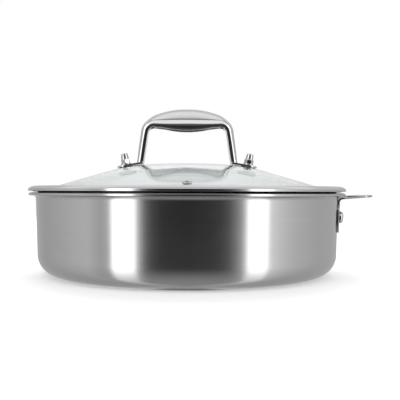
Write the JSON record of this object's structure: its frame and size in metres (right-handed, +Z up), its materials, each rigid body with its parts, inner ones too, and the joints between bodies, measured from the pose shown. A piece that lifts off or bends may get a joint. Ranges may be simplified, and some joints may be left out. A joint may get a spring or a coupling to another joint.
{
  "type": "saute pan with lid",
  "caption": "Round clad-steel saute pan with straight sides, a pouring lip and a riveted helper handle, under a domed glass lid with a steel rim, steam vent and tall loop handle.",
  "frame": {"origin": "centre of the pan's underside, on the pan's axis", "axes": "+Z up along the pan's axis; +X towards the helper handle; the lid handle's grip runs along X"},
  "size_m": [0.3261, 0.2992, 0.157],
  "materials": {
    "pan_steel": "brushed round the wall, satin",
    "pan_core": "bare, sealed between the steel plies",
    "cooking_steel": "fine brushed, satin",
    "helper_steel": "satin, with polished edges",
    "rivet_steel": "polished",
    "rim_steel": "satin, brushed along the rim",
    "lid_glass": "clear, polished, faintly blue-green",
    "vent_steel": "satin",
    "grip_steel": "polished to a soft satin",
    "screw_steel": "machined",
    "nut_steel": "polished",
    "washer_steel": "satin",
    "silicone": "translucent, matte"
  },
  "bodies": {
    "pan": {"pan_outer_ply": "pan_steel", "pan_core_ply": "pan_core", "pan_inner_ply": "cooking_steel", "helper_handle": "helper_steel", "helper_rivet_front": "rivet_steel", "helper_rivet_rear": "rivet_steel"},
    "lid": {"lid_rim_band": "rim_steel", "lid_glass": "lid_glass", "vent_eyelet": "vent_steel", "vent_ferrule": "vent_steel", "lid_handle": "grip_steel", "lid_screw_left": "screw_steel", "lid_screw_right": "screw_steel", "acorn_nut_left": "nut_steel", "acorn_nut_right": "nut_steel", "nut_washer_left": "washer_steel", "nut_washer_right": "washer_steel", "outer_gasket_left": "silicone", "outer_gasket_right": "silicone", "inner_gasket_left": "silicone", "inner_gasket_right": "silicone", "inner_washer_left": "washer_steel", "inner_washer_right": "washer_steel"}
  },
  "joints": [
    {"name": "lid_lift", "type": "slide", "parent": "pan", "child": "lid", "axis": [0, 0, 1], "range_m": [0, 0.2]}
  ]
}
